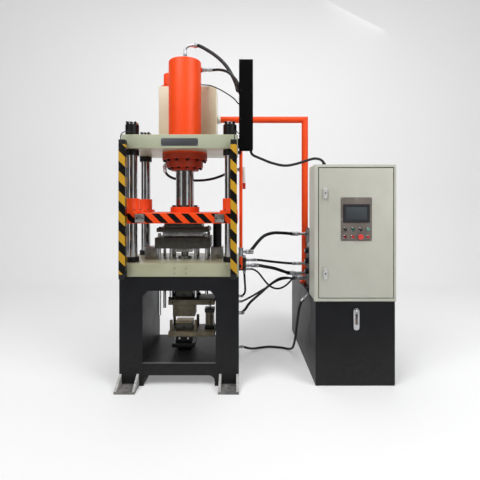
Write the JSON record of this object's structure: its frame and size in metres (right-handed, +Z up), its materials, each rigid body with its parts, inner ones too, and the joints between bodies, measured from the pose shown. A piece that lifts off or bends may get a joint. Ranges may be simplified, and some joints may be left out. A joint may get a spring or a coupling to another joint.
{
  "type": "four-column hydraulic press",
  "caption": "Upright hydraulic press for pressing powder: columns, crosshead, top cylinder, sliding platen and die set on a windowed base, piped to a tank with cabinet, pump and valves.",
  "frame": {"origin": "on the floor, in the middle of the machine's length and width", "axes": "+Z up, the front faces -Y, and the power unit stands on the +X side"},
  "size_m": [2.076, 1.41, 2.7043],
  "materials": {
    "dark_paint": "smooth dark grey enamel",
    "sage_paint": "smooth grey-green enamel",
    "chrome": "polished hard chrome",
    "orange_paint": "semi-gloss orange enamel",
    "tool_steel": "dark ground tool steel",
    "ground_steel": "ground steel",
    "black_oxide": "black oxide",
    "olive_primer": "matt olive primer",
    "cream_paint": "semi-gloss cream enamel",
    "yellow_paint": "yellow powder coat with black bands",
    "duct_paint": "black powder coat",
    "pale_paint": "pale grey textured powder coat",
    "panel_paint": "matt brown-grey plate",
    "black_plastic": "matt black plastic",
    "green_plastic": "gloss green plastic",
    "red_plastic": "gloss red plastic",
    "motor_paint": "semi-gloss blue-grey enamel",
    "cast_black": "black painted castings",
    "hose_rubber": "smooth black rubber"
  },
  "bodies": {
    "frame": {"base_frame": "dark_paint", "oil_tank": "dark_paint", "table": "sage_paint", "crosshead": "sage_paint", "column_front_left": "chrome", "column_front_right": "chrome", "column_rear_left": "chrome", "column_rear_right": "chrome", "level_gauge": "chrome", "pressure_gauge": "chrome", "main_cylinder": "orange_paint", "cylinder_gland": "orange_paint", "prefill_valve": "orange_paint", "suction_pipe": "orange_paint", "side_pipe": "orange_paint", "lower_punch": "tool_steel", "stop_block_left": "ground_steel", "stop_block_right": "ground_steel", "manifold": "ground_steel", "stop_post": "black_oxide", "ejector_cylinder": "black_oxide", "prefill_tank": "cream_paint", "light_curtain_left": "yellow_paint", "light_curtain_right": "yellow_paint", "hose_duct": "duct_paint", "cabinet_body": "pale_paint", "filler_cap": "black_plastic", "pump_motor": "motor_paint", "hydraulic_pump": "cast_black", "valve_block": "cast_black", "top_hose": "hose_rubber", "side_hose": "hose_rubber", "control_cable": "hose_rubber", "pressure_hose": "hose_rubber", "lift_hose": "hose_rubber", "lower_hose": "hose_rubber", "loop_hose": "hose_rubber", "ejector_hose": "hose_rubber", "return_hose": "hose_rubber"},
    "ram_body": {"ram": "chrome", "ram_flange": "orange_paint", "platen": "orange_paint", "upper_punch": "tool_steel"},
    "die_set": {"die_plate": "tool_steel", "upper_yoke": "olive_primer"},
    "ejector": {"ejector_rod": "chrome", "lower_yoke": "olive_primer", "float_cylinder": "olive_primer"},
    "door": {"cabinet_door": "pale_paint", "control_panel": "panel_paint"},
    "upper_latch": {"upper_latch": "chrome"},
    "lower_latch": {"lower_latch": "chrome"},
    "left_selector": {"left_selector": "black_plastic"},
    "right_selector": {"right_selector": "black_plastic"},
    "start_button": {"start_button": "green_plastic"},
    "run_button": {"run_button": "green_plastic"},
    "return_button": {"return_button": "red_plastic"},
    "stop_button": {"stop_button": "red_plastic"},
    "down_button": {"down_button": "red_plastic"},
    "emergency_stop": {"emergency_stop": "red_plastic"}
  },
  "joints": [
    {"name": "ram_slide", "type": "slide", "parent": "frame", "child": "ram_body", "axis": [0, 0, 1], "range_m": [0, 0.25]},
    {"name": "die_withdrawal", "type": "slide", "parent": "frame", "child": "die_set", "axis": [0, 0, 1], "range_m": [-0.025, 0]},
    {"name": "ejector_slide", "type": "slide", "parent": "frame", "child": "ejector", "axis": [0, 0, 1], "range_m": [0, 0.015]},
    {"name": "door_hinge", "type": "hinge", "parent": "frame", "child": "door", "pos_m": [1.03, -0.575, 1.15], "axis": [0, 0, 1], "range_deg": [0, 110]},
    {"name": "upper_latch_turn", "type": "hinge", "parent": "door", "child": "upper_latch", "pos_m": [0.51, -0.5753, 1.4494], "axis": [0, 1, 0], "range_deg": [0, 90]},
    {"name": "lower_latch_turn", "type": "hinge", "parent": "door", "child": "lower_latch", "pos_m": [0.51, -0.5753, 0.8463], "axis": [0, 1, 0], "range_deg": [0, 90]},
    {"name": "left_selector_turn", "type": "hinge", "parent": "door", "child": "left_selector", "pos_m": [0.65905, -0.5783, 1.1783], "axis": [0, 1, 0], "range_deg": [-45, 45]},
    {"name": "right_selector_turn", "type": "hinge", "parent": "door", "child": "right_selector", "pos_m": [0.77365, -0.5783, 1.1783], "axis": [0, 1, 0], "range_deg": [-45, 45]},
    {"name": "start_button_press", "type": "slide", "parent": "door", "child": "start_button", "axis": [0, 1, 0], "range_m": [0, 0.004], "stiffness_N_per_m": 400},
    {"name": "run_button_press", "type": "slide", "parent": "door", "child": "run_button", "axis": [0, 1, 0], "range_m": [0, 0.004], "stiffness_N_per_m": 400},
    {"name": "return_button_press", "type": "slide", "parent": "door", "child": "return_button", "axis": [0, 1, 0], "range_m": [0, 0.004], "stiffness_N_per_m": 400},
    {"name": "stop_button_press", "type": "slide", "parent": "door", "child": "stop_button", "axis": [0, 1, 0], "range_m": [0, 0.004], "stiffness_N_per_m": 400},
    {"name": "down_button_press", "type": "slide", "parent": "door", "child": "down_button", "axis": [0, 1, 0], "range_m": [0, 0.004], "stiffness_N_per_m": 400},
    {"name": "emergency_stop_press", "type": "slide", "parent": "door", "child": "emergency_stop", "axis": [0, 1, 0], "range_m": [0, 0.004], "stiffness_N_per_m": 400}
  ]
}
